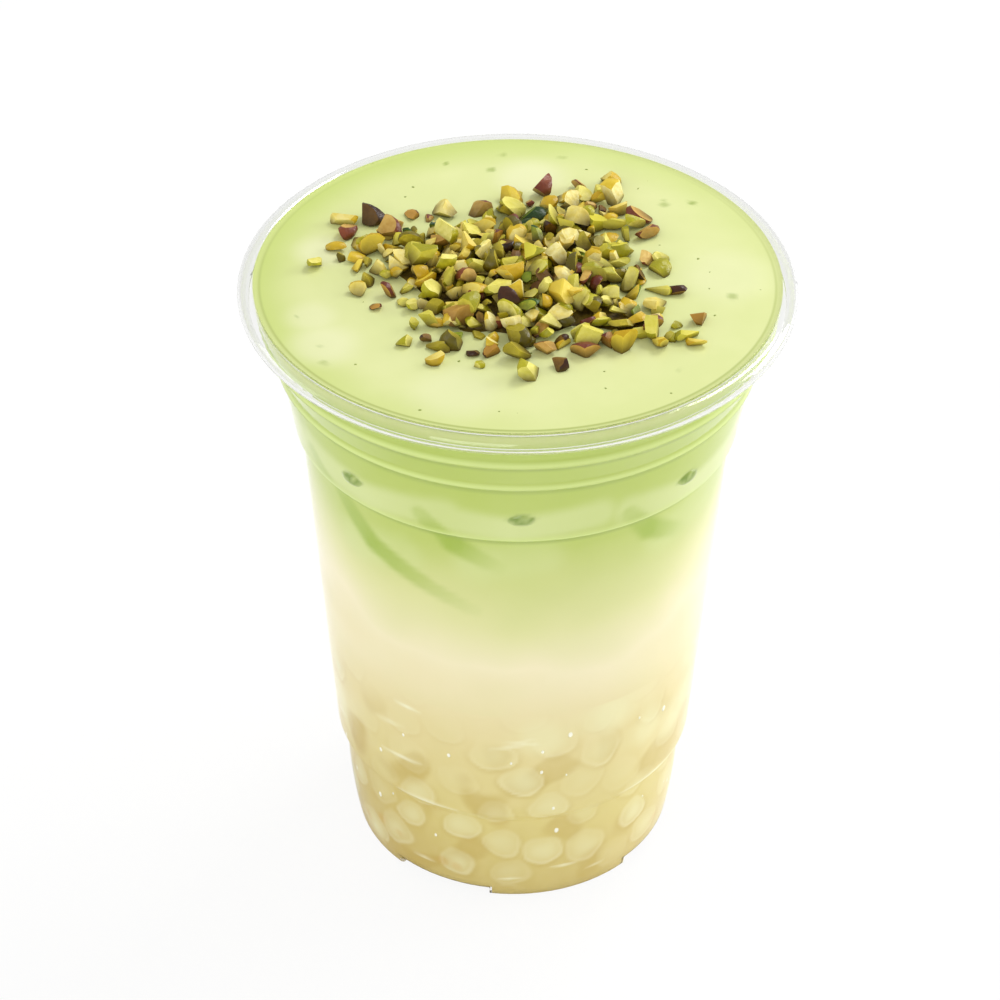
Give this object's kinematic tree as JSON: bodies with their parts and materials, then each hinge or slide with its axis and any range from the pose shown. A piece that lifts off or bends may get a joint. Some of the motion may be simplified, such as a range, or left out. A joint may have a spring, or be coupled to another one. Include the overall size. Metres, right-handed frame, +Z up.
{
  "type": "bubble tea",
  "caption": "Clear plastic cup filled to the brim with pistachio milk tea over clear tapioca pearls, topped with green cream and chopped nuts.",
  "frame": {"origin": "on the cup's axis, in the plane its feet stand on", "axes": "+Z up along the cup's axis; -Y is the side whose wall is nearest the viewer when the cup is seen from its front; +X is to that viewer's right"},
  "size_m": [0.098, 0.098, 0.1264],
  "materials": {
    "cup": "clear, thin, glossy",
    "pearl_bed": "translucent wet pearls in milk tea",
    "milk_tea": "opaque smooth liquid",
    "pistachio_cream": "smooth wet cream",
    "chopped_pistachios": "dry chopped nuts"
  },
  "bodies": {
    "root": {"cup": "cup", "pearl_bed": "pearl_bed", "milk_tea": "milk_tea", "pistachio_cream": "pistachio_cream", "chopped_pistachios": "chopped_pistachios"}
  },
  "joints": []
}
